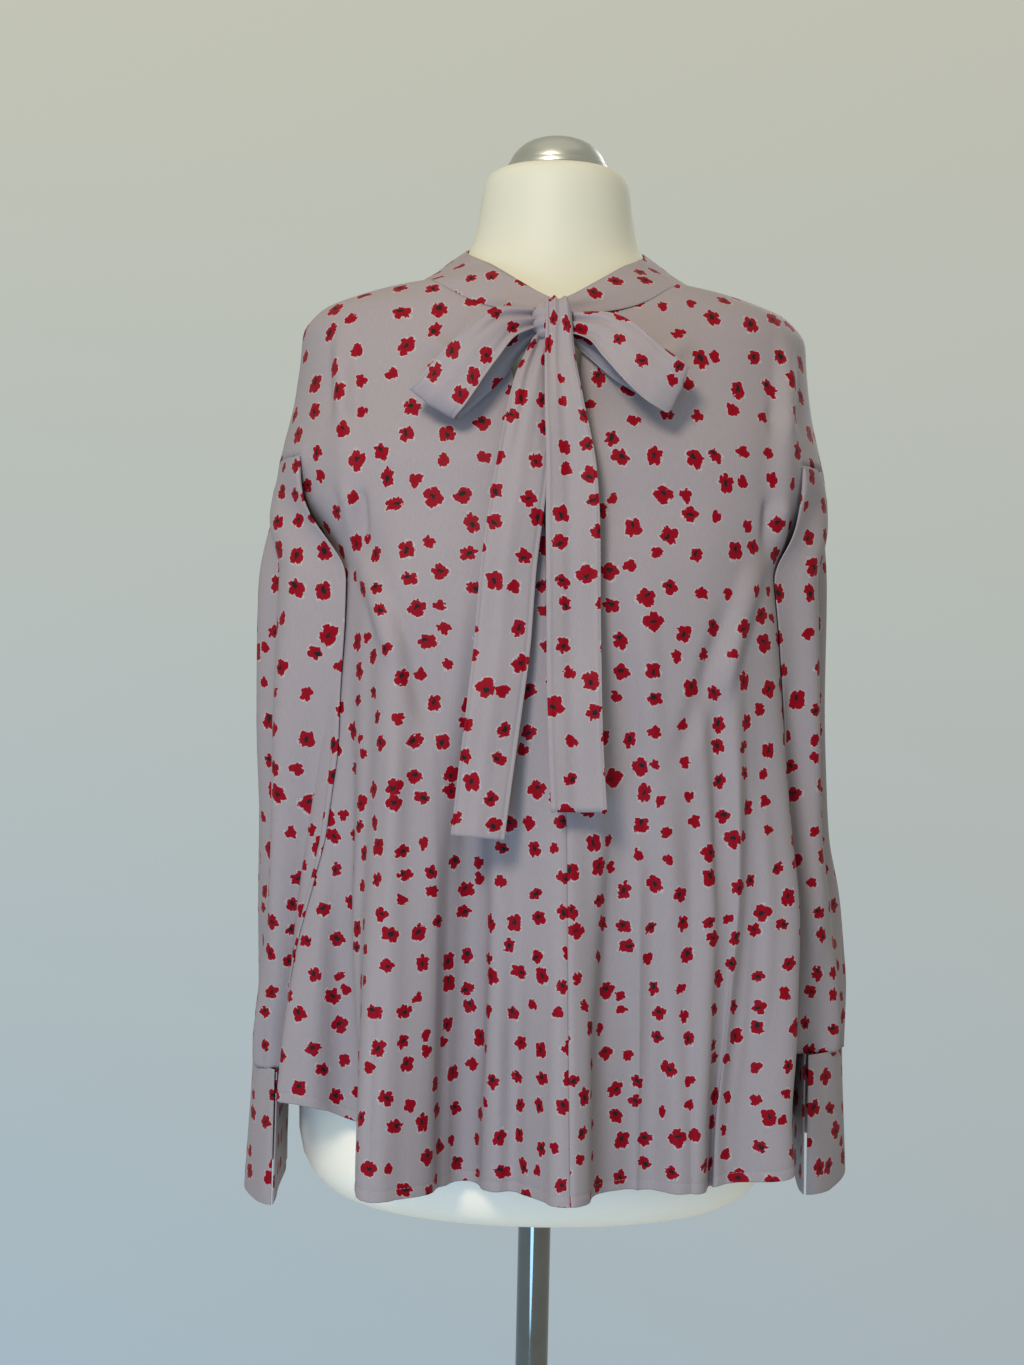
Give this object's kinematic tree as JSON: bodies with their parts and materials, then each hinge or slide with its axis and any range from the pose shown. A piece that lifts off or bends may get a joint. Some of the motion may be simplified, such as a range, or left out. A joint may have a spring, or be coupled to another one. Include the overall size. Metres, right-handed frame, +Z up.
{
  "type": "tie neck blouse on a dress form",
  "caption": "Loose long-sleeved tie neck blouse with deep cuffs, neck slit and tied bow, worn by a limbless dress form on a pole and round base.",
  "frame": {"origin": "centre of the underside of the round base, on the floor", "axes": "+Z up along the pole, -Y towards the front of the blouse, +X towards the wearer's left"},
  "size_m": [0.4569, 0.3717, 1.531],
  "materials": {
    "printed_cloth": "smooth crepe with a small flower print",
    "form_skin": "satin",
    "polished_metal": "polished"
  },
  "bodies": {
    "root": {"front_left": "printed_cloth", "front_right": "printed_cloth", "back": "printed_cloth", "sleeve_left": "printed_cloth", "sleeve_right": "printed_cloth", "cuff_left": "printed_cloth", "cuff_right": "printed_cloth", "neck_band": "printed_cloth", "tie_knot": "printed_cloth", "bow_loop_left": "printed_cloth", "bow_loop_right": "printed_cloth", "tie_end_left": "printed_cloth", "tie_end_right": "printed_cloth", "form_torso": "form_skin", "form_neck_cap": "polished_metal", "form_pole": "polished_metal", "form_base": "polished_metal"}
  },
  "joints": []
}
